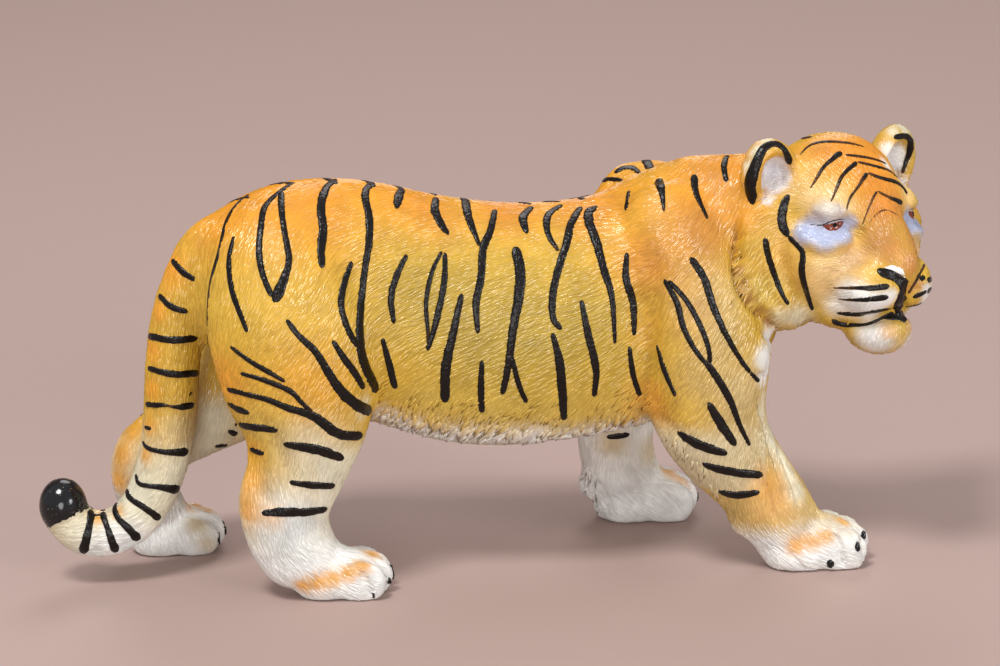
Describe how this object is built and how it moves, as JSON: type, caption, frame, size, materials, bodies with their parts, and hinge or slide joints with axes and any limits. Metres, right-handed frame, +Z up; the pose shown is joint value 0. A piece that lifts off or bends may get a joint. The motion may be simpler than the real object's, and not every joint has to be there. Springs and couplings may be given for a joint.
{
  "type": "tiger figurine",
  "caption": "Solid figurine of a walking tiger that stands on four paws, head turned to its right and tail curled up at the tip.",
  "frame": {"origin": "middle of the bounding box, on the surface that the paws stand on", "axes": "X along the body towards the chest, Y across the body towards the tiger's left, Z up"},
  "size_m": [0.1466, 0.047, 0.0714],
  "materials": {
    "painted_coat": "semi-gloss hand-painted vinyl"
  },
  "bodies": {
    "root": {"tiger": "painted_coat"}
  },
  "joints": []
}
